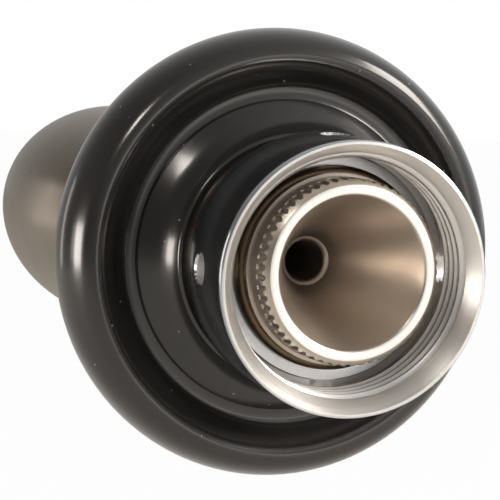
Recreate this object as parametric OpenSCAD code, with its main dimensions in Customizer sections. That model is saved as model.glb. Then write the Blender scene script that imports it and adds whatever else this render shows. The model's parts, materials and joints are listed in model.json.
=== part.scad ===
// Beer tap shank with a loose coupling nut in front, a wall flange, a clamp nut and a domed tail nut.
// The shank lies along Y. The wall's face is at Y = 0, the mouth points to -Y and the hose end to +Y.

/* [Shank] */
// Outside diameter of the threaded tube, 7/8 inch
shank_d = 22.22; // [21:0.01:23.5]
// Length of the shank from the mouth's rim to its rear end, 4 1/8 inch
shank_len = 104.8; // [98:0.1:140]
// Diameter of the beer passage, 3/16 inch
flow_d = 4.76; // [3.5:0.01:5.4]
// Distance from the mouth's rim back to the wall's face
mouth_to_wall = 31.5; // [30.5:0.1:38]
// Pitch of the shank's own thread, 14 turns to the inch
thread_pitch = 1.814; // [1.2:0.001:2.2]

/* [Nose] */
// Height of the collar above the outer edge of the mouth's flat rim
collar_h = 1.11; // [0.9:0.01:1.4]
// Width of the sloped shoulder between the mouth's rim and the ring of teeth
shoulder_w = 0.68; // [0.5:0.02:0.74]
// Length of the ring of teeth from the shoulder back to the collar
tooth_ring_len = 4.02; // [3.6:0.02:5]
// Width of the flat rim round the mouth
rim_w = 1; // [0.6:0.05:1.5]
// Chamfer inside the mouth's rim
rim_chamfer = 0.25; // [0.1:0.05:0.4]
// Depth of the funnel from the rim to the beer passage
funnel_len = 15.7; // [12:0.1:19]
// Radius of the rounded lip where the funnel meets the beer passage
funnel_lip_r = 0.9; // [0.5:0.05:1.2]

/* [Teeth] */
// Number of teeth round the nose, which stop the tap from turning
tooth_count = 58; // [48:1:62]
// Diameter of the round-ended flute between two teeth
flute_d = 0.8; // [0.7:0.05:0.9]
// Depth of each flute in the ring of teeth
flute_depth = 0.18; // [0.12:0.01:0.22]
// Length of each flute from the mouth's rim back
flute_len = 2.7; // [2:0.1:3.2]
// Chamfer on the collar's outer edge
collar_chamfer = 0.12; // [0.08:0.01:0.15]
// Length of the collar from its front face to the ring's groove
collar_len = 0.9; // [0.6:0.1:1.8]

/* [Snap ring and thrust washer] */
// Diameter of the snap ring's wire
ring_wire_d = 1.4; // [1.2:0.05:1.6]
// Angle of the gap in the snap ring
ring_gap_angle = 14; // [8:1:30]
// Thickness of the thrust washer
thrust_t = 0.7; // [0.5:0.05:0.8]

/* [Coupling nut] */
// Outside diameter of the tap's thread that the nut takes, 1 1/8 inch
tap_thread_d = 28.58; // [28.4:0.01:30]
// Wall of the nut outside its thread
nut_wall = 1.4; // [1.2:0.05:2]
// Length of the nut
nut_len = 13.5; // [13.2:0.1:14]
// Length of the lip that runs on the shank
lip_len = 3.5; // [3:0.1:3.9]
// Chamfer on both edges of the lip
lip_chamfer = 0.3; // [0.1:0.05:0.5]
// Play between the lip and the shank
lip_play = 0.49; // [0.45:0.01:0.7]
// Width of the flat front rim of the nut
nut_rim_w = 0.5; // [0.3:0.05:0.7]
// Length of the plain groove between the thread and the lip
relief_len = 2.4; // [2:0.1:3]
// Depth of the plain groove below the thread's root
relief_depth = 0.25; // [0.1:0.05:0.4]
// Radius of the nut's rounded rear edge
nut_edge_r = 0.7; // [0.4:0.05:1]
// Diameter of the four round spanner holes
spanner_d = 3.6; // [3:0.1:4]
// Depth of the spanner holes' centres behind the nut's front rim
spanner_at = 8.8; // [8:0.1:9]
// Angle by which the loose nut's front hangs down
nut_droop = 2.69; // [0:0.01:2.8]
// Angle by which the loose nut's front hangs to the left
nut_sway = 2.04; // [0:0.01:2.2]

/* [Flange] */
// Outside diameter of the flange
flange_d = 55.6; // [54:0.1:60]
// Thickness of the flange from the crest of its rim to its back
flange_h = 10.5; // [10:0.1:11.5]
// Width of the rim from its crest to its outside
rim_out_w = 3.3; // [3:0.1:4]
// Height of the widest point of the rim above the flange's back
rim_mid_h = 4.5; // [4:0.1:5]
// Depth of the valley below the crest of the rim
valley_depth = 2.6; // [2:0.1:3]
// Diameter at the lowest line of the valley
valley_d = 40.4; // [40:0.1:41.6]
// Diameter of the hub at its foot
hub_d = 38.1; // [37.8:0.1:38.6]
// Height of the hub's top above the flange's back
hub_h = 13.5; // [13.2:0.1:13.8]
// Diameter of the circle along the hub's top
hub_top_d = 28.8; // [28.4:0.1:29.2]
// Radius of the hollow curve by which the hub rises to its top
hub_curve_r = 7.2; // [6.8:0.1:7.4]
// Radius of the round on the outer edge of the hub's top
hub_round_r = 0.6; // [0.4:0.05:0.7]
// Diameter of the recess in the hub
recess_d = 26.4; // [25.6:0.1:27]
// Depth of the recess below the hub's top
recess_depth = 5.9; // [5.5:0.1:6.2]
// Height of the step at the hub's foot
foot_h = 0.85; // [0.5:0.05:1]
// Radius of the bead on the step
bead_r = 0.3; // [0.2:0.05:0.35]
// Wall of the flange's moulded shell
shell_t = 2.4; // [2:0.1:2.6]
// Number of ribs in the flange's hollow back
rib_count = 8; // [6:1:12]
// Thickness of each rib
rib_t = 1.6; // [1.2:0.1:2]
// Thickness of the wall gasket behind the flange
gasket_t = 1.5; // [1:0.1:2]
// Distance that the gasket's edge stands in from the flange's edge
gasket_margin = 1.6; // [1:0.1:3]

/* [Clamp] */
// Thickness of the wall that the shank is clamped through
wall_grip = 17; // [8:0.5:19]
// Thickness of the clamp washer
washer_t = 1.6; // [1.2:0.1:2]
// Outside diameter of the clamp washer
washer_d = 35; // [32:0.5:40]
// Width of the clamp nut across its flats, 1 1/4 inch
clamp_af = 31.75; // [28:0.05:34]
// Thickness of the clamp nut
clamp_t = 10; // [8:0.5:11]
// Width that the clamp nut's corner chamfer leaves outside its flats
clamp_chamfer_w = 0.3; // [0:0.1:0.6]

/* [Tail] */
// Largest diameter of the domed tail nut
dome_d = 33.2; // [32.5:0.1:36]
// Half of the length of the oval that the tail nut is turned to
dome_half_len = 37.65; // [37:0.05:42]
// Distance from the wall's face to the thickest place of the tail nut
dome_at = 65.4; // [64:0.1:70]
// Length of the tail nut in front of its thickest place
dome_front_len = 21; // [19:0.5:23]
// Length of the tail nut behind its thickest place
dome_rear_len = 34; // [30:0.5:35]
// Distance of the tail nut's spanner holes from its rear end
tail_spanner_at = 8; // [6:0.5:10]
// Depth of the tail nut's spanner holes
tail_spanner_depth = 3; // [2:0.1:4]
// Thickness of the soft tail seal
seal_t = 2; // [1.5:0.1:3]
// Width that the seal's hole leaves round the beer passage
seal_margin = 0.6; // [0.2:0.1:1.5]
// Thickness of the tailpiece's collar
tail_collar_t = 3; // [2:0.1:4]
// Diameter of the tailpiece's stem where it leaves the tail nut
stem_d = 7.8; // [7.2:0.1:8.4]
// Length of the stem between the tail nut and the first barb
stem_free_len = 3; // [1:0.1:6]
// Number of barbs
barb_count = 4; // [2:1:6]
// Length of one barb
barb_len = 4.6; // [4:0.1:6]
// Height of a barb above the root before it
barb_h = 0.55; // [0.3:0.05:0.7]

/* [Clearances] */
// Play of the clamp nut and the tail nut on the shank, on the radius
thread_play = 0.06; // [0.03:0.01:0.1]
// Play of the washers, the gasket and the flange on the shank, on the radius
washer_play = 0.15; // [0.1:0.01:0.25]
// Gap between two flat faces that bear on each other
face_gap = 0.05; // [0.03:0.01:0.08]

/* [Hidden] */
$fn = 96;
// Reach of a cut past the face that it opens
over = 1;
// Steps along a broad curve, and along the round of an edge
arc_steps = 12;
edge_steps = 5;
// Turn of each round body about its axis, so that its seam misses the holes
seam_angle = 20;

shank_r = shank_d / 2;
nose_r = shank_r - collar_h;
tooth_r = nose_r + shoulder_w;
flow_r = flow_d / 2;
mouth_y = -mouth_to_wall;
collar_y = mouth_y + shoulder_w + tooth_ring_len;
shank_end_y = mouth_y + shank_len;

// Depth of the thread on the shank, which the chamfer at its end reaches down to
thread_depth = 0.613 * thread_pitch;
end_chamfer = thread_depth;
// Chamfer at the mouth of a bore that takes the shank's thread
lead = 0.8 * thread_depth;

// Radius of the nut's bore at the root of its thread, and of the plain groove behind the thread
tap_r = tap_thread_d / 2 + thread_play;
relief_r = tap_r + relief_depth;

// The snap ring sits half in its groove
groove_depth = ring_wire_d / 2;
groove_y = collar_y + collar_len;
groove_len = ring_wire_d + 2 * face_gap;
ring_r = shank_r - groove_depth + ring_wire_d / 2 + face_gap;
ring_out_r = ring_r + ring_wire_d / 2;
thrust_y = groove_y + groove_len;
thrust_in_r = shank_r + washer_play;
// The thrust washer reaches half way from the snap ring to the wall of the nut
thrust_out_r = (ring_out_r + relief_r) / 2;

// The lip's front face clears the thrust washer where the tipped nut leans closest to it
nut_tip = sqrt(pow(nut_droop, 2) + pow(nut_sway, 2));
lip_front_y = thrust_y + thrust_t + face_gap + thrust_out_r * tan(nut_tip);
lip_mid_y = lip_front_y + lip_len / 2;
lip_r = shank_r + lip_play;
// The lip hangs aside by a little over half of its play, more to the side than down
lip_side = 0.47 * lip_play;
lip_drop = 0.31 * lip_play;
nut_r = tap_r + nut_wall;
relief_at = nut_len - lip_len - relief_len;
nut_mouth_r = nut_r - nut_rim_w;
// The mouth's cone is 64 degrees across
cone_slope = tan(32);
nut_front_chamfer = 0.12;

flange_back_y = -gasket_t - face_gap;
crest_r = flange_d / 2 - rim_out_w;
crest_h = flange_h;
valley_h = flange_h - valley_depth;
valley_r = valley_d / 2;
hub_r = hub_d / 2;
hub_top_r = hub_top_d / 2;
recess_r = recess_d / 2;
flange_bore_r = shank_r + washer_play;
boss_r = recess_r + shell_t;
// Floor of the hub's recess above the flange's back
recess_h = hub_h - recess_depth;
// Height of the rounded inner edge of the hub
hub_edge_h = 1;
// The hub's hollow curve leaves the foot at 56 degrees and meets the round of its top at 12 degrees
hub_foot_angle = 56;
hub_neck_angle = 12;
// Distance that the ribs stand in from the flange's back
rib_foot = 0.6;
gasket_r = flange_d / 2 - gasket_margin;

washer_y = wall_grip;
clamp_y = washer_y + washer_t + face_gap;
clamp_corner_r = clamp_af / 2 / cos(30);
clamp_bore_r = shank_r + thread_play;
clamp_face_r = clamp_af / 2 + clamp_chamfer_w;
// Height of the corner chamfer where it runs out past the corners, at 1 in 2
clamp_run_r = clamp_corner_r + over;
clamp_drop = (clamp_run_r - clamp_face_r) / 2;

dome_r = dome_d / 2;
seal_y = shank_end_y + face_gap;
seal_in_r = flow_r + seal_margin;
tail_collar_y = seal_y + seal_t + face_gap;
tail_shoulder_y = tail_collar_y + tail_collar_t + face_gap;
tail_bore_r = shank_r + thread_play;
tail_collar_r = tail_bore_r - washer_play;
stem_r = stem_d / 2;
stem_hole_r = stem_r + washer_play;
stem_lead = 0.6;
dome_rear_y = dome_at + dome_rear_len;
barbs_y = dome_rear_y + stem_free_len;
tail_end_y = barbs_y + barb_count * barb_len;
// The tail nut takes the same spanner as the coupling nut
tail_spanner_y = dome_rear_y - tail_spanner_at;

// Points of an arc with one radius across the axis and one along it
function arc(r, y, across, along, from, to, steps = arc_steps) =
    [for (i = [0 : steps])
        let (a = from + (to - from) * i / steps) [r + across * cos(a), y + along * sin(a)]];

// Radius of the domed tail nut at a place along the axis
function dome_at_y(y) = dome_r * sqrt(1 - pow((y - dome_at) / dome_half_len, 2));

// Height of the flange's front between its valley, at u = 0, and its crest, at u = 1
function slope_h(u) = valley_h + valley_depth * (1 - cos(180 * u)) / 2;

// Points along that slope, lowered by a wall
function slope(steps, wall) =
    [for (u = steps) [valley_r + (crest_r - valley_r) * u, slope_h(u) - wall]];

// A body turned round the Y axis from an outline of [radius, place along Y] points
module turned(outline) {
    rotate([-90, seam_angle, 0])
        rotate_extrude()
            polygon(outline);
}

// A flat ring square to the Y axis
module ring_y(out_r, in_r, from, thickness) {
    turned([[in_r, from], [out_r, from], [out_r, from + thickness], [in_r, from + thickness]]);
}

// One radial bar at an angle round the Y axis
module radial_bar(r, from, to, y, angle) {
    translate([0, y, 0])
        rotate([0, angle, 0])
            translate([0, 0, from])
                cylinder(r = r, h = to - from, $fn = 24);
}

// Outline of the shank without its teeth: nose, collar, ring groove and threaded tube
function shank_outline() = let (
    mouth_r = nose_r - rim_w
) concat(
    [[mouth_r, mouth_y],
     [nose_r, mouth_y],
     [tooth_r, mouth_y + shoulder_w],
     [tooth_r, collar_y],
     [shank_r - collar_chamfer, collar_y],
     [shank_r, collar_y + collar_chamfer],
     [shank_r, groove_y],
     [shank_r - groove_depth, groove_y],
     [shank_r - groove_depth, groove_y + groove_len],
     [shank_r, groove_y + groove_len],
     [shank_r, shank_end_y - end_chamfer],
     [shank_r - end_chamfer, shank_end_y],
     [flow_r, shank_end_y]],
    arc(flow_r + funnel_lip_r, mouth_y + funnel_len, funnel_lip_r, funnel_lip_r, 180, 246),
    [[mouth_r - rim_chamfer, mouth_y + rim_chamfer]]
);

// The cut of one flute along the nose, with a rounded end, at an angle round the axis from the seam
module flute(angle) {
    flute_end = mouth_y + flute_len - flute_d / 2;
    rotate([-90, seam_angle, 0])
        rotate([0, 0, angle])
            translate([tooth_r - flute_depth + flute_d / 2, 0, 0])
                rotate_extrude($fn = 24)
                    polygon(concat(
                        [[0, mouth_y - over], [flute_d / 2, mouth_y - over]],
                        arc(0, flute_end, flute_d / 2, flute_d / 2, 0, 90, 4)));
}

module shank() {
    color("silver")
        difference() {
            turned(shank_outline());
            for (i = [0 : tooth_count - 1])
                flute((i + 0.5) * 360 / tooth_count);
        }
}

// An open ring of round wire in the shank's groove
module snap_ring() {
    color("peru")
        translate([0, groove_y + groove_len / 2, 0])
            rotate([-90, ring_gap_angle / 2, 0])
                rotate_extrude(angle = 360 - ring_gap_angle)
                    translate([ring_r, 0])
                        circle(r = ring_wire_d / 2, $fn = 32);
}

module thrust_washer() {
    color("gainsboro")
        ring_y(thrust_out_r, thrust_in_r, thrust_y, thrust_t);
}

// Outline of the coupling nut from its own front rim at Y = 0
function nut_outline() = concat(
    [[nut_mouth_r, 0],
     [nut_r - nut_front_chamfer, 0],
     [nut_r, nut_front_chamfer]],
    arc(nut_r - nut_edge_r, nut_len - nut_edge_r, nut_edge_r, nut_edge_r, 0, 90, edge_steps),
    [[lip_r + lip_chamfer, nut_len],
     [lip_r, nut_len - lip_chamfer],
     [lip_r, nut_len - lip_len + lip_chamfer],
     [lip_r + lip_chamfer, nut_len - lip_len],
     [relief_r, nut_len - lip_len],
     [relief_r, relief_at],
     [tap_r, relief_at],
     [tap_r, (nut_mouth_r - tap_r) / cone_slope]]
);

// The loose nut hangs from its lip, so it turns about an axis of its own
module coupling_nut() {
    color("lightgray")
        translate([lip_side, lip_mid_y, -lip_drop])
            rotate([nut_droop, 0, 0])
                rotate([0, 0, -nut_sway])
                    translate([0, lip_len / 2 - nut_len, 0])
                        difference() {
                            turned(nut_outline());
                            for (angle = [0 : 90 : 270])
                                radial_bar(spanner_d / 2, thrust_out_r, nut_r + over, spanner_at, angle);
                        }
}

// Front and outside of the flange as [radius, height above its back], from the back's outer edge inwards
function flange_face() = let (
    round_h = hub_h - hub_round_r,
    curve_r = hub_top_r + (hub_round_r + hub_curve_r) * cos(hub_neck_angle),
    curve_h = round_h + (hub_round_r + hub_curve_r) * sin(hub_neck_angle),
    rim_y_r = crest_h - rim_mid_h,
    back_angle = -asin(rim_mid_h / rim_y_r)
) concat(
    arc(crest_r, rim_mid_h, rim_out_w, rim_y_r, back_angle, 90),
    slope([for (i = [arc_steps - 1 : -1 : 0]) i / arc_steps], 0),
    [[hub_r, valley_h + bead_r / 3]],
    arc(hub_r - bead_r, valley_h + foot_h - bead_r, bead_r, bead_r, 0, 90, edge_steps),
    arc(curve_r, curve_h, hub_curve_r, hub_curve_r, 180 + hub_foot_angle, 180 + hub_neck_angle),
    arc(hub_top_r, round_h, hub_round_r, hub_round_r, hub_neck_angle + 12, 90, edge_steps),
    arc(hub_top_r, hub_h - hub_edge_h, hub_top_r - recess_r, hub_edge_h, 98, 180)
);

// The hollow behind the flange's face, which keeps the shell one wall thick
function flange_hollow() = concat(
    [[boss_r, -over],
     [boss_r, valley_h - shell_t]],
    slope([for (i = [0 : arc_steps - 1]) i / arc_steps], shell_t),
    arc(crest_r, rim_mid_h, rim_out_w - shell_t, crest_h - rim_mid_h - shell_t, 90, 0, edge_steps),
    [[crest_r + rim_out_w - shell_t, -over]]
);

module flange() {
    color([0.1, 0.1, 0.1])
        translate([0, flange_back_y, 0])
            mirror([0, 1, 0])
                difference() {
                    turned(concat(
                        flange_face(),
                        [[recess_r, recess_h], [flange_bore_r, recess_h], [flange_bore_r, 0]]));
                    difference() {
                        turned(flange_hollow());
                        for (i = [0 : rib_count - 1])
                            rotate([0, (i + 0.5) * 360 / rib_count, 0])
                                translate([0, rib_foot, -rib_t / 2])
                                    cube([crest_r + rim_out_w, crest_h, rib_t]);
                    }
                }
}

module wall_gasket() {
    color([0.2, 0.2, 0.2])
        ring_y(gasket_r, flange_bore_r, -gasket_t, gasket_t);
}

module clamp_washer() {
    color("gainsboro")
        ring_y(washer_d / 2, shank_r + washer_play, washer_y, washer_t);
}

// A hexagon nut with both faces chamfered at its corners
module clamp_nut() {
    color("silver")
        difference() {
            intersection() {
                translate([0, clamp_y, 0])
                    rotate([-90, 0, 0])
                        cylinder(r = clamp_corner_r, h = clamp_t, $fn = 6);
                turned([[0, clamp_y],
                        [clamp_face_r, clamp_y],
                        [clamp_run_r, clamp_y + clamp_drop],
                        [clamp_run_r, clamp_y + clamp_t - clamp_drop],
                        [clamp_face_r, clamp_y + clamp_t],
                        [0, clamp_y + clamp_t]]);
            }
            turned([[0, clamp_y - over],
                    [clamp_bore_r + lead + over, clamp_y - over],
                    [clamp_bore_r, clamp_y + lead],
                    [clamp_bore_r, clamp_y + clamp_t - lead],
                    [clamp_bore_r + lead + over, clamp_y + clamp_t + over],
                    [0, clamp_y + clamp_t + over]]);
        }
}

module tail_seal() {
    color("dimgray")
        ring_y(tail_collar_r, seal_in_r, seal_y, seal_t);
}

// Outline of the tailpiece: collar with a wide mouth, stem and a row of sharp-edged barbs
function tail_outline() = concat(
    [[flow_r, tail_collar_y + tail_collar_t],
     [seal_in_r, tail_collar_y + tail_collar_t],
     [seal_in_r, tail_collar_y],
     [tail_collar_r, tail_collar_y],
     [tail_collar_r, tail_collar_y + tail_collar_t],
     [stem_r, tail_collar_y + tail_collar_t],
     [stem_r, barbs_y - stem_free_len / 3],
     [stem_r - barb_h, barbs_y]],
    [for (i = [0 : barb_count - 1], p = [[stem_r, 0.15], [stem_r, 0.3], [stem_r - barb_h, 1]])
        [p[0], barbs_y + (i + p[1]) * barb_len]],
    [[flow_r, tail_end_y]]
);

module tailpiece() {
    color("silver")
        turned(tail_outline());
}

// The domed nut: an oval outside, a threaded bore in front and a stem hole behind
function tail_nut_outline() = let (
    front = dome_at - dome_front_len
) concat(
    [[tail_bore_r + lead, front]],
    [for (i = [0 : 2 * arc_steps])
        let (y = front + (dome_front_len + dome_rear_len) * i / (2 * arc_steps)) [dome_at_y(y), y]],
    [[stem_hole_r + stem_lead, dome_rear_y],
     [stem_hole_r, dome_rear_y - stem_lead],
     [stem_hole_r, tail_shoulder_y],
     [tail_bore_r, tail_shoulder_y],
     [tail_bore_r, front + lead]]
);

module tail_nut() {
    color("darkgray")
        difference() {
            turned(tail_nut_outline());
            for (angle = [45 : 90 : 315])
                radial_bar(spanner_d / 2, dome_at_y(tail_spanner_y) - tail_spanner_depth, dome_r,
                           tail_spanner_y, angle);
        }
}

shank();
snap_ring();
thrust_washer();
coupling_nut();
flange();
wall_gasket();
clamp_washer();
clamp_nut();
tail_seal();
tailpiece();
tail_nut();
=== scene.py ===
# %% [markdown]
# # A beer tap shank, dressed piece by piece
# A tap shank carries beer through a wall. In front it has a funnel-shaped nose with a ring of teeth,
# a loose chromed coupling nut and a black flange. Behind the wall sit a clamp nut and a domed tail nut
# that holds a barbed tailpiece. Nearly all of it was turned on a lathe, so one lathe helper makes
# most of it.

# %% Load the frame
import json
import math

import bpy
from mathutils import Matrix, Vector


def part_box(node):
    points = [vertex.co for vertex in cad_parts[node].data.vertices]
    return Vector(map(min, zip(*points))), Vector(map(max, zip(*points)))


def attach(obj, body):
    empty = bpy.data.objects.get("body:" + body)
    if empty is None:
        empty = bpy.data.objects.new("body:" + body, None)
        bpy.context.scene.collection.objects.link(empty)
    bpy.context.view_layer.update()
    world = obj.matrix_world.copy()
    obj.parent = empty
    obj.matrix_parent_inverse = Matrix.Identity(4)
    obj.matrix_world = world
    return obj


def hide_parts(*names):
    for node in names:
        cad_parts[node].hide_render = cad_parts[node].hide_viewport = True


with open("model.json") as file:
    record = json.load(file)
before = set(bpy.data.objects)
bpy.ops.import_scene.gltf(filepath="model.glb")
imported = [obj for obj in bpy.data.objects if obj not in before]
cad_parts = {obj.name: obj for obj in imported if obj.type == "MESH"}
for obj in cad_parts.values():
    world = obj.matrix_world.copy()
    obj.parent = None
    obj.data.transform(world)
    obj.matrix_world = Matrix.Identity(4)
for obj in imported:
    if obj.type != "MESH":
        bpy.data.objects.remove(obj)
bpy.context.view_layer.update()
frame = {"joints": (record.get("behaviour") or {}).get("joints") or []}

# %% [markdown]
# Sizes are written in millimetres, as on a drawing, and one factor turns them to Blender's metres.
# Every place along the shank is a Y value in the frame: the wall's face is at 0, the mouth at -31.5.

# %% Units and sizes from the frame
MM = 0.001
joints = {joint["name"]: joint for joint in frame["joints"]}


def reach(node):
    low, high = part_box(node)
    return {"front": low[1] / MM, "back": high[1] / MM, "radius": (high[0] - low[0]) / 2 / MM}


shank_box = reach("shank")
gasket_box = reach("wall_gasket")
tail_nut_box = reach("tail_nut")
tailpiece_box = reach("tailpiece")
mouth = shank_box["front"]
shank_r = shank_box["radius"]
print("mouth at", round(mouth, 2), "mm, shank radius", round(shank_r, 3), "mm")

# %% [markdown]
# ## Camera
# The photograph looks at the mouth from its left and a little above, with a long lens held slightly
# turned. The place and the three angles come from fitting rings of known size to the picture.

# %% Camera
camera_from_mouth = Vector((-86.35, -206.76, 21.40))
camera_azimuth = math.radians(-19.675)
camera_elevation = math.radians(4.885)
camera_roll = math.radians(1.744)

camera_data = bpy.data.cameras.new("camera")
camera_data.lens = 144
camera_data.sensor_width = 36
camera_data.clip_start = 0.01
camera = bpy.data.objects.new("camera", camera_data)
bpy.context.collection.objects.link(camera)
camera.matrix_world = (
    Matrix.Translation((camera_from_mouth + Vector((0, mouth, 0))) * MM)
    @ Matrix.Rotation(camera_azimuth, 4, "Z")
    @ Matrix.Rotation(math.radians(90) - camera_elevation, 4, "X")
    @ Matrix.Rotation(camera_roll, 4, "Z")
)
bpy.context.scene.camera = camera
print("camera at", [round(v, 4) for v in camera.location])

# %% [markdown]
# ## Material helpers
# Colours are written as they look on a screen, in hex, and turned to linear light once. One helper
# adds a node, sets it and links what it is given, so a material reads from top to bottom.

# %% Colour and node helpers
def linear(hex_colour):
    values = [int(hex_colour[i:i + 2], 16) / 255 for i in (1, 3, 5)]
    return [v / 12.92 if v <= 0.04045 else ((v + 0.055) / 1.055) ** 2.4 for v in values] + [1]


def add(tree, kind, inputs=None, **settings):
    node = tree.nodes.new(kind)
    for key, value in settings.items():
        setattr(node, key, value)
    for key, value in (inputs or {}).items():
        if isinstance(value, bpy.types.NodeSocket):
            tree.links.new(value, node.inputs[key])
        else:
            node.inputs[key].default_value = value
    return node


def new_material(name, surface):
    """A material with its constant values on the shader's own sockets."""
    material = bpy.data.materials.new(name)
    material.use_nodes = True
    tree = material.node_tree
    shader = tree.nodes["Principled BSDF"]
    for socket, value in surface.items():
        shader.inputs[socket].default_value = value
    return material, tree, shader


# %% [markdown]
# A lathe leaves marks that run round the piece, so the pattern needs coordinates that follow the
# turning: the distance from the axis and the place along it. A slow term in X and Z breaks each mark
# up a little on its way round.

# %% Coordinates that follow the lathe
def turning_coordinates(tree, spacing, wander, turn):
    """Noise on these changes fully over one spacing, in millimetres, across the marks."""
    place = add(tree, "ShaderNodeTexCoord").outputs["Object"]
    if turn is not None:
        back = turn.inverted()
        place = add(tree, "ShaderNodeMapping", {
            "Vector": place,
            "Location": back.to_translation(),
            "Rotation": back.to_euler(),
        }).outputs["Vector"]
    parts = add(tree, "ShaderNodeSeparateXYZ", {"Vector": place})
    flat = add(tree, "ShaderNodeCombineXYZ", {"X": parts.outputs["X"], "Z": parts.outputs["Z"]})
    radius = add(tree, "ShaderNodeVectorMath", {0: flat.outputs["Vector"]}, operation="LENGTH")
    around = add(tree, "ShaderNodeVectorMath", {0: flat.outputs["Vector"]}, operation="NORMALIZE")
    across = add(tree, "ShaderNodeCombineXYZ", {
        "X": radius.outputs["Value"], "Y": parts.outputs["Y"]})
    scaled = add(tree, "ShaderNodeVectorMath", {
        0: across.outputs["Vector"], "Scale": 1 / (spacing * MM)}, operation="SCALE")
    slow = add(tree, "ShaderNodeVectorMath", {
        0: around.outputs["Vector"], "Scale": wander}, operation="SCALE")
    return add(tree, "ShaderNodeVectorMath", {
        0: scaled.outputs["Vector"], 1: slow.outputs["Vector"]}, operation="ADD").outputs["Vector"]


def map_range(tree, value, low, high):
    return add(tree, "ShaderNodeMapRange", {
        "Value": value, "To Min": low, "To Max": high}).outputs["Result"]


# %% [markdown]
# ## Metals
# Turned metal shows fine rings. They spread a reflection across themselves, so a turned face gets
# fan-shaped streaks. Grooves in the mesh would take millions of faces, so the marks are a bump, and
# the streaks come from the shader's anisotropic setting: the tangent runs round the axis, and a
# quarter turn makes the spread cross it. Slow noise mixes two near colours, as no metal is quite even.

# %% Turned metal
def colour_mixer(tree, factor):
    """A mixer's two colour inputs and its colour output."""
    mix = add(tree, "ShaderNodeMix", data_type="RGBA")
    tree.links.new(factor, mix.inputs["Factor"])
    low, high = [s for s in mix.inputs if s.type == "RGBA"]
    return low, high, next(s for s in mix.outputs if s.type == "RGBA")


def tint(tree, factor, hex_low, hex_high):
    low, high, colour = colour_mixer(tree, factor)
    low.default_value = linear(hex_low)
    high.default_value = linear(hex_high)
    return colour


def turned_metal(name, hex_low, hex_high, rough, spacing, depth,
                 turn=None, anisotropic=0.0, wander=0.4):
    """A metal with marks at this spacing and depth, in millimetres, and roughness between two ends."""
    material, tree, shader = new_material(name, {
        "Metallic": 1.0, "Anisotropic": anisotropic, "Anisotropic Rotation": 0.25})
    marks = turning_coordinates(tree, spacing, wander, turn)
    fine = add(tree, "ShaderNodeTexNoise", {
        "Vector": marks, "Scale": 1.0, "Detail": 3.0}).outputs["Fac"]
    place = add(tree, "ShaderNodeTexCoord").outputs["Object"]
    cloud = add(tree, "ShaderNodeTexNoise", {
        "Vector": place, "Scale": 160.0, "Detail": 2.0}).outputs["Fac"]
    tree.links.new(tint(tree, cloud, hex_low, hex_high), shader.inputs["Base Color"])
    tree.links.new(map_range(tree, fine, rough[0], rough[1]), shader.inputs["Roughness"])
    bump = add(tree, "ShaderNodeBump", {"Height": fine, "Strength": 1.0, "Distance": depth * MM})
    tree.links.new(bump.outputs["Normal"], shader.inputs["Normal"])
    if anisotropic:
        tangent = add(tree, "ShaderNodeTangent", direction_type="RADIAL", axis="Y")
        tree.links.new(tangent.outputs["Tangent"], shader.inputs["Tangent"])
    return material


nut_joint = joints["coupling_spin"]
nut_tilt = Vector((0, 1, 0)).rotation_difference(Vector(nut_joint["axis"])).to_matrix().to_4x4()
nut_turn = Matrix.Translation(Vector(nut_joint["pos_m"])) @ nut_tilt
polished_chrome = turned_metal(
    "polished_chrome", "#c0c5cc", "#d2d6dc", rough=(0.07, 0.2), spacing=0.5, depth=0.004, turn=nut_turn)
satin_chrome = turned_metal(
    "satin_chrome", "#dcdad7", "#eeedeb", rough=(0.3, 0.46), spacing=0.3, depth=0.02,
    turn=nut_turn, anisotropic=0.6)
print("made", polished_chrome.name, satin_chrome.name)

# %% [markdown]
# The nut is **chromed brass**, polished outside and left turned inside. The shank is **stainless
# steel**, satin from the tool. Its flat mouth rim gets a much lighter copy of that steel, which is a
# painted highlight for the lamps' light that its turning marks catch. The tail nut has the same metal
# with a smoother, rolled finish.

# %% Steels and bronze
satin_steel = turned_metal(
    "turned_stainless_steel", "#b7aca0", "#c9bfb4", rough=(0.26, 0.4), spacing=0.3, depth=0.02,
    anisotropic=0.6)
# The mouth rim's steel: the shank's steel painted much lighter, as a painted highlight.
painted_highlight_steel = turned_metal(
    "painted_highlight_stainless_steel", "#f0ede9", "#fbfaf8", rough=(0.3, 0.42), spacing=0.3, depth=0.02,
    anisotropic=0.6)
dome_steel = turned_metal(
    "rolled_stainless_steel", "#9c9388", "#aca398", rough=(0.24, 0.34), spacing=0.8, depth=0.006,
    anisotropic=0.4, wander=1.5)
zinc_plate = turned_metal(
    "zinc_plated_steel", "#b9babd", "#cfd0d2", rough=(0.28, 0.42), spacing=0.3, depth=0.01)
bronze = turned_metal(
    "spring_bronze", "#5c4d3e", "#75634e", rough=(0.3, 0.42), spacing=0.2, depth=0.01)
print("made", satin_steel.name, painted_highlight_steel.name, dome_steel.name, zinc_plate.name, bronze.name)

# %% [markdown]
# ## Plastics and rubber
# The flange is **moulded ABS**, black and glossy: a clear, slightly uneven skin over a dark body,
# with a few dust specks. The specks could be tiny meshes, but they are flat marks on the skin, so a
# cell pattern in the colour does. The gasket's rubber and the seal's nylon are duller, with a grain.

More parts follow.
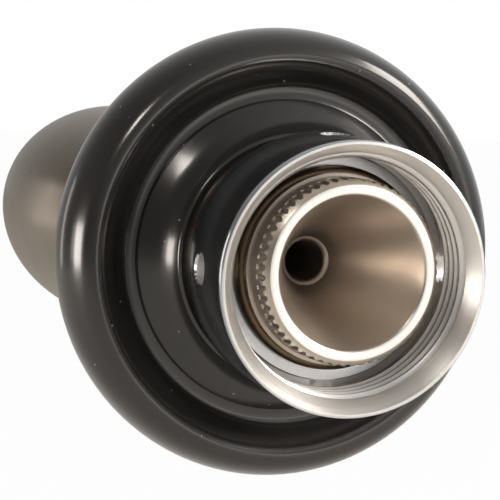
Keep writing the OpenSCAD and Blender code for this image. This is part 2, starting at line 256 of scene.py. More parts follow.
# %% Black ABS, rubber and nylon
def moulded_abs():
    material, tree, shader = new_material("black_moulded_abs", {
        "Roughness": 0.2, "IOR": 1.5, "Coat Weight": 0.5, "Coat Roughness": 0.12})
    place = add(tree, "ShaderNodeTexCoord").outputs["Object"]
    cloud = add(tree, "ShaderNodeTexNoise", {
        "Vector": place, "Scale": 90.0, "Detail": 2.0}).outputs["Fac"]
    dust = add(tree, "ShaderNodeTexVoronoi", {
        "Vector": place, "Scale": 420.0}, feature="F1").outputs["Distance"]
    speck = add(tree, "ShaderNodeMapRange", {
        "Value": dust, "From Min": 0.04, "From Max": 0.06, "To Min": 1.0, "To Max": 0.0,
    }).outputs["Result"]
    body, specks, colour = colour_mixer(tree, speck)
    tree.links.new(tint(tree, cloud, "#1b1a19", "#211f1e"), body)
    specks.default_value = linear("#8c857c")
    tree.links.new(colour, shader.inputs["Base Color"])
    skin = add(tree, "ShaderNodeTexNoise", {
        "Vector": place, "Scale": 350.0, "Detail": 1.0}).outputs["Fac"]
    bump = add(tree, "ShaderNodeBump", {"Height": skin, "Strength": 1.0, "Distance": 0.004 * MM})
    tree.links.new(bump.outputs["Normal"], shader.inputs["Normal"])
    return material


def soft_sheet(name, hex_low, hex_high, rough):
    material, tree, shader = new_material(name, {"Roughness": rough})
    place = add(tree, "ShaderNodeTexCoord").outputs["Object"]
    grain = add(tree, "ShaderNodeTexNoise", {
        "Vector": place, "Scale": 2500.0, "Detail": 2.0}).outputs["Fac"]
    tree.links.new(tint(tree, grain, hex_low, hex_high), shader.inputs["Base Color"])
    bump = add(tree, "ShaderNodeBump", {"Height": grain, "Strength": 1.0, "Distance": 0.03 * MM})
    tree.links.new(bump.outputs["Normal"], shader.inputs["Normal"])
    return material


black_abs = moulded_abs()
rubber = soft_sheet("nitrile_rubber", "#1a1a1a", "#262626", 0.75)
nylon = soft_sheet("nylon", "#c9c4b8", "#d6d2c8", 0.55)
print("made", black_abs.name, rubber.name, nylon.name)

# %% [markdown]
# ## The lathe
# Every round piece is an outline that turns about one axis. A cylinder could be pushed into shape,
# but a drawn outline holds each size exactly. So a single vertex is extruded from point to point, the
# outline is spun round the Y axis, and doubles at the seam and on the axis are merged.

# %% Lathe helper
weld = 0.0005 * MM


def only(piece):
    if bpy.context.object and bpy.context.object.mode != "OBJECT":
        bpy.ops.object.mode_set(mode="OBJECT")
    bpy.ops.object.select_all(action="DESELECT")
    piece.select_set(True)
    bpy.context.view_layer.objects.active = piece


def draw_outline(name, outline):
    """A piece that holds only the outline, from [radius, place along Y] points in millimetres."""
    bpy.ops.object.select_all(action="DESELECT")
    bpy.ops.mesh.primitive_plane_add(size=MM, location=(0, 0, 0))
    piece = bpy.context.object
    piece.name = piece.data.name = name
    bpy.ops.object.mode_set(mode="EDIT")
    bpy.ops.mesh.select_all(action="SELECT")
    bpy.ops.mesh.merge(type="CENTER")
    points = [Vector((r, y, 0)) * MM for r, y in outline]
    bpy.ops.transform.translate(value=points[0])
    for here, there in zip(points, points[1:] + points[:1]):
        bpy.ops.mesh.extrude_region_move(TRANSFORM_OT_translate={"value": there - here})
    bpy.ops.mesh.select_all(action="SELECT")
    bpy.ops.mesh.remove_doubles(threshold=weld)
    return piece


def lathe(name, outline, steps):
    piece = draw_outline(name, outline)
    bpy.ops.mesh.spin(steps=steps, angle=2 * math.pi, center=(0, 0, 0), axis=(0, 1, 0))
    bpy.ops.mesh.select_all(action="SELECT")
    bpy.ops.mesh.remove_doubles(threshold=weld)
    bpy.ops.mesh.normals_make_consistent(inside=False)
    bpy.ops.object.mode_set(mode="OBJECT")
    smooth(piece)
    return piece


def smooth(piece, sharp=32):
    only(piece)
    bpy.ops.object.shade_smooth_by_angle(angle=math.radians(sharp))


def arc(r, y, rr, ry, start, end, steps=12):
    """Points of an arc, rr across the axis and ry along it, between two angles in degrees."""
    angles = [math.radians(start + (end - start) * i / steps) for i in range(steps + 1)]
    return [(r + rr * math.cos(a), y + ry * math.sin(a)) for a in angles]


def place_as(piece, matrix):
    only(piece)
    piece.matrix_world = matrix
    bpy.ops.object.transform_apply(location=True, rotation=True, scale=True)


def dress(piece, *materials):
    piece.data.materials.clear()
    for material in materials:
        piece.data.materials.append(material)


def finish_piece(piece, body, *nodes, slot_name=None):
    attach(piece, body)
    if nodes:
        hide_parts(*nodes)
    print(piece.name, "has", len(piece.data.polygons), "faces and rides on", body)


# %% [markdown]
# Holes and notches could be built into a mesh by hand. A cutter shaped like the real tool, used with
# a Boolean modifier, is quicker and keeps their sizes. The modifier is applied and the cutter deleted,
# so only the piece stays.

# %% Cutting helpers
def join(pieces):
    only(pieces[0])
    for piece in pieces[1:]:
        piece.select_set(True)
    bpy.ops.object.join()
    return pieces[0]


def cut(piece, cutter, operation="DIFFERENCE"):
    only(piece)
    modifier = piece.modifiers.new("cut", "BOOLEAN")
    modifier.operation = operation
    modifier.solver = "EXACT"
    modifier.object = cutter
    bpy.ops.object.modifier_apply(modifier=modifier.name)
    bpy.data.objects.remove(cutter, do_unlink=True)


clear = 1  # how far a cutter reaches past the metal, in millimetres


def drill(radius, countersink, inner, outer, y, angle):
    """A drill that points outwards at an angle round Y and also breaks the outer edge of its hole."""
    wide = radius + countersink
    tool = lathe("drill", [
        (0, inner), (radius, inner), (radius, outer - countersink), (wide, outer),
        (wide, outer + clear), (0, outer + clear)], steps=48)
    turn = Matrix.Rotation(math.radians(angle), 4, "Y") @ Matrix.Rotation(math.radians(90), 4, "X")
    place_as(tool, Matrix.Translation((0, y * MM, 0)) @ turn)
    return tool


# %% [markdown]
# ## Screw threads
# A thread is one ridge of metal wound round the axis. A bump could hint at it, but its outline shows
# against the light, so it is real geometry: its section is drawn once and a Screw modifier winds it,
# one pitch for each turn. The ends are trimmed with a cutter, as a lathe tool would.

# %% Thread helper
thread_flank = math.radians(30)


def wound_ridge(name, root_r, crest_r, pitch, start, turns, root_flat, steps):
    """A ridge from its root radius to its crest radius, sunk a little into the wall it stands on."""
    sunk_r = root_r + math.copysign(0.12, root_r - crest_r)
    root_half = (pitch - root_flat) / 2
    crest_half = root_half - abs(crest_r - root_r) * math.tan(thread_flank)
    section = [
        (sunk_r, start - root_half), (root_r, start - root_half), (crest_r, start - crest_half),
        (crest_r, start + crest_half), (root_r, start + root_half), (sunk_r, start + root_half)]
    ridge = draw_outline(name, section)
    bpy.ops.mesh.edge_face_add()
    bpy.ops.object.mode_set(mode="OBJECT")
    only(ridge)
    screw = ridge.modifiers.new("wind", "SCREW")
    screw.axis = "Y"
    screw.angle = 2 * math.pi
    screw.screw_offset = pitch * MM
    screw.iterations = turns
    screw.steps = screw.render_steps = steps
    screw.use_merge_vertices = True
    screw.merge_threshold = weld
    bpy.ops.object.modifier_apply(modifier=screw.name)
    bpy.ops.object.mode_set(mode="EDIT")
    bpy.ops.mesh.select_all(action="SELECT")
    bpy.ops.mesh.remove_doubles(threshold=weld)
    bpy.ops.mesh.select_all(action="DESELECT")
    bpy.ops.mesh.select_non_manifold()
    bpy.ops.mesh.edge_face_add()
    bpy.ops.mesh.select_all(action="SELECT")
    bpy.ops.mesh.normals_make_consistent(inside=False)
    bpy.ops.object.mode_set(mode="OBJECT")
    return ridge


# %% [markdown]
# ## Stage and light
# The photograph was taken on a white sweep. The camera has to see the floor and the world white, but a
# white room would wash out black plastic and chrome, which show what stands round them. So the light
# paths are told apart: the camera sees white, and the pieces mirror a grey room, paler at the right.

# %% Floor
floor_z = -75 * MM
floor_size = 6
floor_whiteness = 0.97
bpy.ops.object.select_all(action="DESELECT")
bpy.ops.mesh.primitive_plane_add(size=floor_size, location=(0, 0, floor_z))
floor = bpy.context.object
floor.name = "floor"
floor_material, floor_tree, floor_shader = new_material("painted_floor", {
    "Base Color": linear("#f2f1ef"), "Roughness": 0.7})
rays = add(floor_tree, "ShaderNodeLightPath")
white = add(floor_tree, "ShaderNodeEmission", {"Color": (1, 1, 1, 1), "Strength": 1.0})
seen = add(floor_tree, "ShaderNodeMath", {
    0: rays.outputs["Is Camera Ray"], 1: floor_whiteness}, operation="MULTIPLY")
mixed = add(floor_tree, "ShaderNodeMixShader", {
    0: seen.outputs["Value"], 1: floor_shader.outputs["BSDF"], 2: white.outputs["Emission"]})
floor_tree.links.new(mixed.outputs["Shader"], floor_tree.nodes["Material Output"].inputs["Surface"])
floor.data.materials.append(floor_material)
print("floor at", round(floor_z, 3), "m")

# %% World
world = bpy.data.worlds.new("studio")
bpy.context.scene.world = world
world.use_nodes = True
sky = world.node_tree
sky.nodes.clear()
rays = add(sky, "ShaderNodeLightPath")
direction = add(sky, "ShaderNodeTexCoord").outputs["Generated"]
along = add(sky, "ShaderNodeSeparateXYZ", {"Vector": direction}).outputs["X"]
sweep = add(sky, "ShaderNodeMapRange", {
    "Value": along, "From Min": -0.75, "From Max": 0.9, "To Min": 0.0, "To Max": 1.0,
}, interpolation_type="SMOOTHSTEP").outputs["Result"]
reflected = tint(sky, sweep, "#767370", "#e6e6e6")
seen_white = add(sky, "ShaderNodeBackground", {"Color": (1, 1, 1, 1), "Strength": 1.0})
mirrored = add(sky, "ShaderNodeBackground", {"Color": reflected, "Strength": 1.0})
soft = add(sky, "ShaderNodeBackground", {"Color": linear("#d9d6d2"), "Strength": 0.45})
shiny = add(sky, "ShaderNodeMath", {
    0: rays.outputs["Is Glossy Ray"], 1: rays.outputs["Is Transmission Ray"]}, operation="MAXIMUM")
lit = add(sky, "ShaderNodeMixShader", {
    0: shiny.outputs["Value"], 1: soft.outputs["Background"], 2: mirrored.outputs["Background"]})
shown = add(sky, "ShaderNodeMixShader", {
    0: rays.outputs["Is Camera Ray"], 1: lit.outputs["Shader"], 2: seen_white.outputs["Background"]})
add(sky, "ShaderNodeOutputWorld", {"Surface": shown.outputs["Shader"]})
bpy.context.scene.view_settings.view_transform = "Standard"
print("world", world.name, "has", len(sky.nodes), "nodes")

# %% [markdown]
# The lamps' places were read from the reflections in the flange, because each bright spot on a glossy
# curve points at its lamp: a soft box at the left, a little low, with the sweep round it, a small one
# at the upper left in front, a slanting strip at the upper right, a dim card low in front and a dim
# strip behind on the left.

# %% Soft boxes
lamp_colour = linear("#fff7ee")[:3]
lamp_aim = Vector((0, -0.02, 0))


def soft_box(name, azimuth, elevation, distance, width, height, radiance, roll=0):
    """A lamp aimed at the nut, its lengths in metres. Azimuth 0 is the camera's side and 90 the left."""
    a, e = math.radians(azimuth), math.radians(elevation)
    toward = Vector((-math.sin(a) * math.cos(e), -math.cos(a) * math.cos(e), math.sin(e)))
    data = bpy.data.lights.new(name, "AREA")
    data.shape = "RECTANGLE"
    data.size = width
    data.size_y = height
    data.energy = radiance * math.pi * width * height
    data.color = lamp_colour
    lamp = bpy.data.objects.new(name, data)
    bpy.context.collection.objects.link(lamp)
    lamp.location = lamp_aim + toward * distance
    turned = toward.to_track_quat("Z", "Y").to_matrix() @ Matrix.Rotation(math.radians(roll), 3, "Z")
    lamp.rotation_euler = turned.to_euler()
    print(name, "at", [round(v, 3) for v in lamp.location])


soft_box("left_box", 95, -6, distance=0.5, width=0.22, height=0.22, radiance=11)
soft_box("left_sweep", 96, -8, distance=0.6, width=0.48, height=0.3, radiance=2)
soft_box("upper_left_box", 41, 38, distance=0.55, width=0.09, height=0.09, radiance=18)
soft_box("right_strip", -51, 27, distance=0.55, width=0.40, height=0.15, radiance=13, roll=45)
soft_box("front_card", -22, -10, distance=0.6, width=0.36, height=0.30, radiance=1.4)
soft_box("back_strip", 147, -6, distance=0.6, width=0.06, height=0.40, radiance=1.8)

# %% [markdown]
# ## Coupling nut
# The nut slips over the shank and pulls the tap's collar against the teeth. It hangs tipped, which
# would be hard to draw in place, so it is drawn along its own axis with its front rim at 0, drilled
# for the hook spanner, and tipped at the end. Its side and back are polished, its front rim and its
# inside satin.

# %% Coupling nut
nut_len = 13.5
lip_len = 3.5
nut_r = 15.75
thread_root_r = 14.35
thread_crest_r = 13.6
relief_r = 14.6
relief_front = 7.6
lip_r = 11.6
rim_inner_r = 15.25
cone_slope = math.tan(math.radians(32))
edge_r = 0.7
lip_break = 0.3
relief_break = 0.25
spanner_r = 1.8
spanner_at = 8.8
spanner_break = 0.25
spanner_start = 13.2
polish_depth = 0.1
tap_pitch = 1.411
lip_front = nut_len - lip_len

nut_outline = (
    [(rim_inner_r, 0.06), (rim_inner_r + 0.06, 0),
     (nut_r - 0.14, 0), (nut_r - 0.04, 0.04), (nut_r, 0.14)]
    + [(nut_r, y) for y in (1.5, 3, 5, 7, 9, 11)]
    + arc(nut_r - edge_r, nut_len - edge_r, edge_r, edge_r, 0, 90, 10)
    + [(lip_r + lip_break, nut_len), (lip_r, nut_len - lip_break),
       (lip_r, lip_front + lip_break), (lip_r + lip_break, lip_front),
       (relief_r - relief_break, lip_front), (relief_r, lip_front - relief_break),
       (relief_r, relief_front), (thread_root_r, relief_front),
       (thread_root_r, (rim_inner_r - thread_root_r) / cone_slope)]
)
coupling_nut = lathe("chromed_coupling_nut", nut_outline, steps=256)
for angle in range(0, 360, 90):
    cut(coupling_nut, drill(spanner_r, spanner_break, spanner_start, nut_r, spanner_at, angle))
smooth(coupling_nut)
dress(coupling_nut, satin_chrome, polished_chrome)
for face in coupling_nut.data.polygons:
    round_the_side = math.hypot(face.center.x, face.center.z) > (nut_r - polish_depth) * MM
    at_the_back = face.center.y > (nut_len - edge_r) * MM
    face.material_index = int(round_the_side or at_the_back)
print("turned and drilled", coupling_nut.name)

# %% [markdown]
# The tap screws into the nut's thread, a ridge that points inwards. A cone trims its front, like the
# countersink that leads the tap in, and a second cutter ends it at the relief groove, where a real
# threading tool runs out. Nut and thread are then joined and put in the place of the joint's axis.

# %% Thread in the coupling nut
tap_turns = 7
cone_reach = 3
cone_tip_r = thread_crest_r - 0.3
cone_tip_y = (rim_inner_r - cone_tip_r) / cone_slope
tap_thread = wound_ridge("tap_thread", thread_root_r, thread_crest_r, tap_pitch, start=-tap_pitch,
                         turns=tap_turns, root_flat=tap_pitch / 8, steps=128)
countersink = lathe("countersink", [
    (0, -cone_reach), (rim_inner_r + cone_reach * cone_slope, -cone_reach),
    (cone_tip_r, cone_tip_y), (0, cone_tip_y)], steps=128)
cut(tap_thread, countersink)
runout = lathe("runout", [
    (0, relief_front), (nut_r, relief_front), (nut_r, nut_len), (0, nut_len)], steps=128)
cut(tap_thread, runout)
smooth(tap_thread)
dress(tap_thread, satin_chrome)
coupling_nut = join([coupling_nut, tap_thread])
place_as(coupling_nut, nut_turn @ Matrix.Translation((0, (lip_len / 2 - nut_len) * MM, 0)))
finish_piece(coupling_nut, "coupling_nut", "coupling_nut", slot_name="nut_chrome")

# %% [markdown]
# ## Shank
# The shank is one turned bar. Its nose is a tube with a funnel inside. A sloped shoulder leads from
# the mouth's flat rim to a ring with 58 round-ended flutes, whose lands are the teeth that hold the
# tap. Then come the collar and the snap ring's groove. Behind the wall's face the bar is threaded, so
# there the core is drawn at the thread's root. One outline makes it all, as one bar does in a lathe.

# %% Shank
nose_step = 1.11
nose_r = shank_r - nose_step
shoulder_w = 0.68
tooth_r = nose_r + shoulder_w
tooth_ring_len = 4.02
rim_w = 1.0
flow_r = 2.38
funnel_len = 15.7
funnel_lip = 0.9
groove_depth = 0.7
groove_w = 1.5
collar_w = 0.9
collar_y = mouth + shoulder_w + tooth_ring_len
groove_front = collar_y + collar_w
groove_back = groove_front + groove_w
shank_pitch = 1.814
depth_per_pitch = 0.613
thread_depth = depth_per_pitch * shank_pitch
thread_front = 2.0
shank_end = shank_box["back"]
mouth_r = nose_r - rim_w
root_r = shank_r - thread_depth

shank_outline = (
    [(mouth_r, mouth), (nose_r - 0.05, mouth), (nose_r + 0.05, mouth + 0.05),
     (tooth_r - 0.03, mouth + shoulder_w - 0.03), (tooth_r, mouth + shoulder_w + 0.04),
     (tooth_r, mouth + 2.2), (tooth_r, mouth + 2.9), (tooth_r, collar_y),
     (shank_r - 0.12, collar_y), (shank_r - 0.03, collar_y + 0.03), (shank_r, collar_y + 0.12),
     (shank_r, groove_front), (shank_r - groove_depth, groove_front),
     (shank_r - groove_depth, groove_back), (shank_r, groove_back),
     (shank_r, thread_front - thread_depth), (root_r, thread_front), (root_r, shank_end),
     (flow_r, shank_end)]
    + arc(flow_r + funnel_lip, mouth + funnel_len, funnel_lip, funnel_lip, 180, 246, 10)
    + [(mouth_r - 0.25, mouth + 0.25), (mouth_r - 0.1, mouth + 0.06)]
)
shank = lathe("turned_shank", shank_outline, steps=232)
print("turned", shank.name, "from", round(mouth, 2), "to", round(shank_end, 2), "mm")

# %% [markdown]
# The gaps between the teeth look as if a round-ended mill had run in from the mouth, once for each.
# One cutter of that shape is copied round the nose, and all the copies are joined, because one Boolean
# with many bodies is quicker than many Booleans. The flutes are a little deeper than in the solid, so
# that they show as the dark dots of the photograph.

# %% Flutes between the teeth
tooth_count = 58
flute_r = 0.4
flute_depth = 0.3
flute_len = 2.7
flute_end = mouth + flute_len - flute_r
flute = lathe("flute", [
    (0, mouth - clear), (flute_r, mouth - clear), *arc(0, flute_end, flute_r, flute_r, 0, 90, 6)], steps=20)
place_as(flute, Matrix.Translation(((tooth_r - flute_depth + flute_r) * MM, 0, 0)))
flutes = [flute]
for i in range(1, tooth_count):
    only(flute)
    bpy.ops.object.duplicate()
    flutes.append(bpy.context.object)
for i, piece in enumerate(flutes):
    place_as(piece, Matrix.Rotation(2 * math.pi * (i + 0.5) / tooth_count, 4, "Y"))
cut(shank, join(flutes))
smooth(shank)
print("cut", tooth_count, "flutes", flute_len, "mm long")

# %% [markdown]
# Clamp nut and tail nut run on this thread. It is wound longer than needed, and an envelope trims it:
# flat where the full bar begins in front, and bevelled at the rear end. The mouth's flat rim then gets
# the lighter steel of the painted highlight: its faces are found by their place, since they alone lie in
# the mouth's plane.

# %% Thread on the shank
rim_highlight_band = 0.02
spare_turns = 2
turns = math.ceil((shank_end - thread_front) / shank_pitch) + spare_turns
shank_thread = wound_ridge("shank_thread", root_r, shank_r, shank_pitch, start=thread_front - shank_pitch,
                           turns=turns, root_flat=shank_pitch / 4, steps=64)
envelope = lathe("envelope", [
    (0, thread_front - thread_depth), (shank_r, thread_front - thread_depth + 0.01),
    (shank_r + clear, thread_front + clear), (shank_r + clear, shank_end - thread_depth - clear),
    (shank_r - thread_depth, shank_end), (0, shank_end)], steps=96)
cut(shank_thread, envelope, "INTERSECT")
smooth(shank_thread)
shank = join([shank, shank_thread])
dress(shank, satin_steel, painted_highlight_steel)
# Faces in the mouth's plane take the lighter steel, a painted highlight.
for face in shank.data.polygons:
    face.material_index = int(face.center.y < (mouth + rim_highlight_band) * MM)
finish_piece(shank, "shank", "shank", slot_name="shank_steel")

# %% [markdown]
# ## Rings and washers
# The snap ring keeps the coupling nut on the shank. It is round bronze wire bent to an open ring. A
# whole ring could be cut open, but it is simpler to spin its round section short of a full turn and
# then to turn the gap to its place.

# %% Snap ring
wire_r = 0.7
wire_mid_r = shank_r + 0.05
ring_gap = 14
ring_y = (groove_front + groove_back) / 2
bpy.ops.object.select_all(action="DESELECT")
bpy.ops.mesh.primitive_circle_add(vertices=24, radius=wire_r * MM, fill_type="NGON")
snap_ring = bpy.context.object
snap_ring.name = "bronze_snap_ring"
place_as(snap_ring, Matrix.Translation((wire_mid_r * MM, 0, 0)))
bpy.ops.object.mode_set(mode="EDIT")
bpy.ops.mesh.select_all(action="SELECT")
bpy.ops.mesh.spin(steps=150, angle=math.radians(360 - ring_gap), center=(0, 0, 0), axis=(0, 1, 0))
bpy.ops.mesh.select_all(action="SELECT")
bpy.ops.mesh.remove_doubles(threshold=weld)
bpy.ops.mesh.normals_make_consistent(inside=False)
bpy.ops.object.mode_set(mode="OBJECT")
smooth(snap_ring, sharp=60)
gap_turn = Matrix.Rotation(math.radians(-ring_gap / 2), 4, "Y")
place_as(snap_ring, Matrix.Translation((0, ring_y * MM, 0)) @ gap_turn)
dress(snap_ring, bronze)
finish_piece(snap_ring, "shank", "snap_ring", slot_name="ring_bronze")

# %% [markdown]
# Four flat rings spread the load or seal a joint. They differ only in size and material, so one
# helper makes them: it takes the outer size and the place from the solid, and breaks every edge a
# little, because a stamped or moulded edge is never quite sharp and a broken one catches the light.

# %% Washers, gasket and seal
def washer(node, inner_r, material, slot_name, body, edge=0.12, steps=128):
    at = reach(node)
    front, back, outer_r = at["front"], at["back"], at["radius"]
    piece = lathe("turned_" + node, [
        (inner_r, front + edge), (inner_r + edge, front), (outer_r - edge, front),
        (outer_r, front + edge), (outer_r, back - edge), (outer_r - edge, back),
        (inner_r + edge, back), (inner_r, back - edge)], steps=steps)
    dress(piece, material)
    finish_piece(piece, body, node, slot_name=slot_name)


washer_hole_r = shank_r + 0.15
seal_hole_r = flow_r + 0.6
washer("thrust_washer", washer_hole_r, zinc_plate, "plated_steel", "thrust_washer")
washer("wall_gasket", washer_hole_r, rubber, "gasket_rubber", "wall_gasket", edge=0.25, steps=192)
washer("clamp_washer", washer_hole_r, zinc_plate, "plated_steel", "clamp_washer", edge=0.2, steps=160)
washer("tail_seal", seal_hole_r, nylon, "seal_nylon", "tailpiece", edge=0.2, steps=96)

# %% [markdown]
# ## Flange
# The flange is a moulded shell: a fat rounded rim, a valley, a step with a small bead, and a hub that
# rises by a straight slope and a hollow curve to a narrow rounded top, with a recess inside. Where two
# curves of the front meet they share a tangent, because gloss shows a kink as a broken highlight.
# Heights are measured up from its back, so the front is at -Y.

# %% Flange
flange_back = gasket_box["front"] - 0.05
rim_r = 27.8
crest_r = 24.5
crest_h = 10.5
rim_mid_h = 4.5
valley_r = 20.2
valley_h = 7.9
hub_r = 19.05
foot_h = 0.85
bead_r = 0.3
foot_slope = 34
hollow_start_r = 17.5
hollow_r = 6.9
neck_slope = 64
hub_round_r = 0.5
hub_edge_h = 1.0
recess_r = 13.2
recess_h = 7.6
shell_t = 2.4
boss_r = 15.6
flange_bore_r = shank_r + 0.15
next_point = 7  # an arc that goes on from another starts this many degrees further


def leaning(r, h, distance, slope):
    """The point at a distance from a place, along the normal of a face with that slope."""
    return r + distance * math.sin(math.radians(slope)), h + distance * math.cos(math.radians(slope))


bead_at = (hub_r - bead_r, valley_h + foot_h - bead_r)
foot_at = leaning(*bead_at, bead_r, foot_slope)
hollow_start_h = foot_at[1] + (foot_at[0] - hollow_start_r) * math.tan(math.radians(foot_slope))
hollow_at = leaning(hollow_start_r, hollow_start_h, hollow_r, foot_slope)
neck_at = leaning(*hollow_at, -hollow_r, neck_slope)
hub_top_r, round_h = leaning(*neck_at, -hub_round_r, neck_slope)
hub_h = round_h + hub_round_r


def slope_h(u):
    return valley_h + (crest_h - valley_h) * (1 - math.cos(math.pi * u)) / 2


slope_steps = 20
slope = [(valley_r + (crest_r - valley_r) * i / slope_steps, slope_h(i / slope_steps))
         for i in range(slope_steps + 1)]
face = (
    arc(crest_r, rim_mid_h, rim_r - crest_r, crest_h - rim_mid_h,
        -math.degrees(math.asin(rim_mid_h / (crest_h - rim_mid_h))), 90, 36)
    + slope[-2::-1]
    + [(hub_r + 0.25, valley_h + 0.02), (hub_r + 0.07, valley_h + 0.07), (hub_r, valley_h + 0.25)]
    + arc(*bead_at, bead_r, bead_r, 0, 90 - foot_slope, 6)
    + arc(*hollow_at, hollow_r, hollow_r, 270 - foot_slope, 270 - neck_slope, 24)
    + arc(hub_top_r, round_h, hub_round_r, hub_round_r, 90 - neck_slope + next_point, 90, 9)
    + arc(hub_top_r, hub_h - hub_edge_h, hub_top_r - recess_r, hub_edge_h, 90 + next_point, 180, 14)
)
inside = [(recess_r, recess_h), (flange_bore_r, recess_h), (flange_bore_r, 0),
          (boss_r, 0), (boss_r, valley_h - shell_t)]
hollow = (
    [(r, h - shell_t) for r, h in slope]
    + arc(crest_r, rim_mid_h, rim_r - crest_r - shell_t, crest_h - rim_mid_h - shell_t, 84, 0, 14)
    + [(rim_r - shell_t, 0)]
)
flange_outline = [(r, flange_back - h) for r, h in face + inside + hollow]
flange = lathe("moulded_flange", flange_outline, steps=256)
print("turned", flange.name, "with a hub", round(hub_h, 2), "mm high")

# %% [markdown]
# Ribs stiffen a moulded shell without making it thick, and the flange has eight in its hollow back.
# They are plain blocks that run into the shell and are joined to it without a Boolean, because the
# seams where they meet are hidden in there.

# %% Ribs behind the flange
rib_count = 8
rib_len, rib_h, rib_t = 9.6, 5.0, 1.6
rib_mid_r = 20.2
rib_mid_h = 3.1
ribs = []
for i in range(rib_count):
    bpy.ops.object.select_all(action="DESELECT")
    bpy.ops.mesh.primitive_cube_add(size=MM, location=(0, 0, 0))
    rib = bpy.context.object
    turn = Matrix.Rotation(math.radians(360 / rib_count * (i + 0.5)), 4, "Y")
    middle = Matrix.Translation((rib_mid_r * MM, (flange_back - rib_mid_h) * MM, 0))
    place_as(rib, turn @ middle @ Matrix.Diagonal((rib_len, rib_h, rib_t, 1)))
    ribs.append(rib)
flange = join([flange] + ribs)
dress(flange, black_abs)
finish_piece(flange, "flange", "flange", slot_name="flange_black")

# %% [markdown]
# ## Clamp nut
# A plain hexagon nut pulls the shank against the wall. It could be one mesh drawn by hand, but it is
# made as a real one is: a six-sided bar is turned down at the corners by a double cone, which leaves
# the curved edges of a real nut, then bored, and its bore is broken at both ends.

# %% Clamp nut
clamp_box = reach("clamp_nut")
clamp_front, clamp_back = clamp_box["front"], clamp_box["back"]
across_flats = 31.75
clamp_corner_r = across_flats / 2 / math.cos(math.radians(30))
clamp_face_r = across_flats / 2 + 0.3
past_corner_r = clamp_corner_r + clear
drop = (past_corner_r - clamp_face_r) / 2
bpy.ops.object.select_all(action="DESELECT")
bpy.ops.mesh.primitive_cylinder_add(
    vertices=6, radius=clamp_corner_r * MM, depth=(clamp_back - clamp_front) * MM)
clamp_nut = bpy.context.object
clamp_nut.name = "hexagon_clamp_nut"
place_as(clamp_nut, Matrix.Translation((0, (clamp_front + clamp_back) / 2 * MM, 0))
         @ Matrix.Rotation(math.radians(90), 4, "X") @ Matrix.Rotation(math.radians(30), 4, "Z"))
turned_down = lathe("turned_down", [
    (0, clamp_front), (clamp_face_r, clamp_front), (past_corner_r, clamp_front + drop),
    (past_corner_r, clamp_back - drop), (clamp_face_r, clamp_back), (0, clamp_back)], steps=128)
cut(clamp_nut, turned_down, "INTERSECT")
bore_r = shank_r + 0.06
lead = 0.8 * thread_depth
lead_r = bore_r + lead + clear
bore = lathe("bore", [
    (0, clamp_front - clear), (lead_r, clamp_front - clear), (bore_r, clamp_front + lead),
    (bore_r, clamp_back - lead), (lead_r, clamp_back + clear), (0, clamp_back + clear)], steps=128)
cut(clamp_nut, bore)
smooth(clamp_nut, sharp=25)
dress(clamp_nut, zinc_plate)
finish_piece(clamp_nut, "clamp_nut", "clamp_nut", slot_name="plated_steel")

# %% [markdown]
# ## Tail nut and tailpiece
# The domed tail nut is turned to an oval and rolled to an even satin. A stretched sphere would give
# the oval too, but not the bore, the flat ends and their broken edges, which the outline holds as
# well. The dome is one ellipse, taken at even steps along the axis.

# %% Tail nut
dome_r = tail_nut_box["radius"]
dome_half_len = 37.65
dome_at = 65.4
tail_front, tail_back = tail_nut_box["front"], tail_nut_box["back"]
tail_bore_r = bore_r
tail_collar_back = shank_end + 5.15
stem_hole_r = 4.05
stem_hole_break = 0.6
tail_edge = 0.5


def dome_at_y(y):
    return dome_r * math.sqrt(1 - ((y - dome_at) / dome_half_len) ** 2)


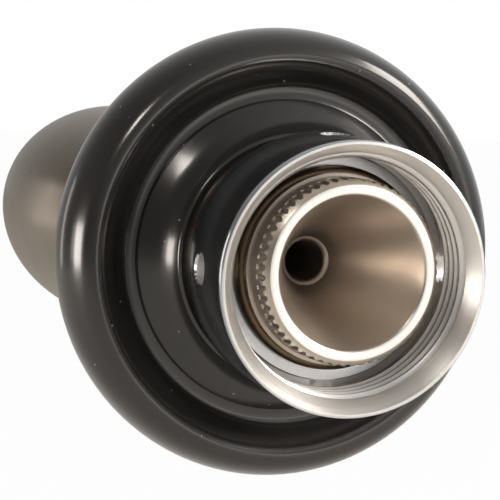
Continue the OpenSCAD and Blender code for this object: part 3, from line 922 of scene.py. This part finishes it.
dome_steps = 48
dome_len = tail_back - tail_front - 2 * tail_edge
dome_places = [tail_front + tail_edge + dome_len * i / dome_steps for i in range(dome_steps + 1)]
tail_outline = (
    [(tail_bore_r + lead, tail_front), (dome_at_y(tail_front) - tail_edge, tail_front),
     (dome_at_y(tail_front) - 0.12, tail_front + 0.15)]
    + [(dome_at_y(y), y) for y in dome_places]
    + [(dome_at_y(tail_back) - 0.25, tail_back - 0.1), (dome_at_y(tail_back) - 0.7, tail_back),
       (stem_hole_r + stem_hole_break, tail_back), (stem_hole_r, tail_back - stem_hole_break),
       (stem_hole_r, tail_collar_back), (tail_bore_r, tail_collar_back),
       (tail_bore_r, tail_front + lead)]
)
tail_nut = lathe("domed_tail_nut", tail_outline, steps=192)
tail_spanner_y = tail_back - 8
tail_spanner_depth = 3
tail_spanner_break = 0.3
hole_top = dome_at_y(tail_spanner_y)
for angle in range(45, 360, 90):
    cut(tail_nut, drill(spanner_r, tail_spanner_break, hole_top - tail_spanner_depth, hole_top,
                        tail_spanner_y, angle))
smooth(tail_nut)
dress(tail_nut, dome_steel)
finish_piece(tail_nut, "tail_nut", "tail_nut", slot_name="tail_steel")

# %% [markdown]
# The tailpiece has a collar that the tail nut presses against the seal, and ends in a row of barbs for
# the hose. Each barb is a long cone that widens towards the nut, up to a sharp edge that holds the
# hose back. They are alike, so a loop writes their points into one outline.

# %% Tailpiece
stem_r = 3.9
stem_back = tailpiece_box["back"]
barb_count = 4
barb_h = 0.55
barb_len = 4.6
barbs_y = tail_back + 3
valley_between_r = stem_r - barb_h
collar_front = shank_end + 2.1
collar_back = collar_front + 3
tail_collar_r = tail_bore_r - 0.15
collar_edge = 0.2
barbs = []
for i in range(barb_count):
    edge = barbs_y + barb_len * (i + 0.3)
    barbs += [(stem_r - 0.06, edge - 0.15 * barb_len), (stem_r, edge - 0.1 * barb_len), (stem_r, edge),
              (valley_between_r, barbs_y + barb_len * (i + 1))]
tailpiece_outline = (
    [(flow_r, collar_back), (seal_hole_r, collar_back), (seal_hole_r, collar_front + 0.1),
     (seal_hole_r + 0.1, collar_front), (tail_collar_r - collar_edge, collar_front),
     (tail_collar_r, collar_front + collar_edge), (tail_collar_r, collar_back - collar_edge),
     (tail_collar_r - collar_edge, collar_back), (stem_r, collar_back),
     (stem_r, barbs_y - 1.2), (stem_r - 0.15, barbs_y - 0.8), (valley_between_r, barbs_y)]
    + barbs
    + [(valley_between_r - 0.3, stem_back), (flow_r + 0.15, stem_back), (flow_r, stem_back - 0.15)]
)
tailpiece = lathe("barbed_tailpiece", tailpiece_outline, steps=96)
dress(tailpiece, satin_steel)
finish_piece(tailpiece, "tailpiece", "tailpiece", slot_name="tail_steel")
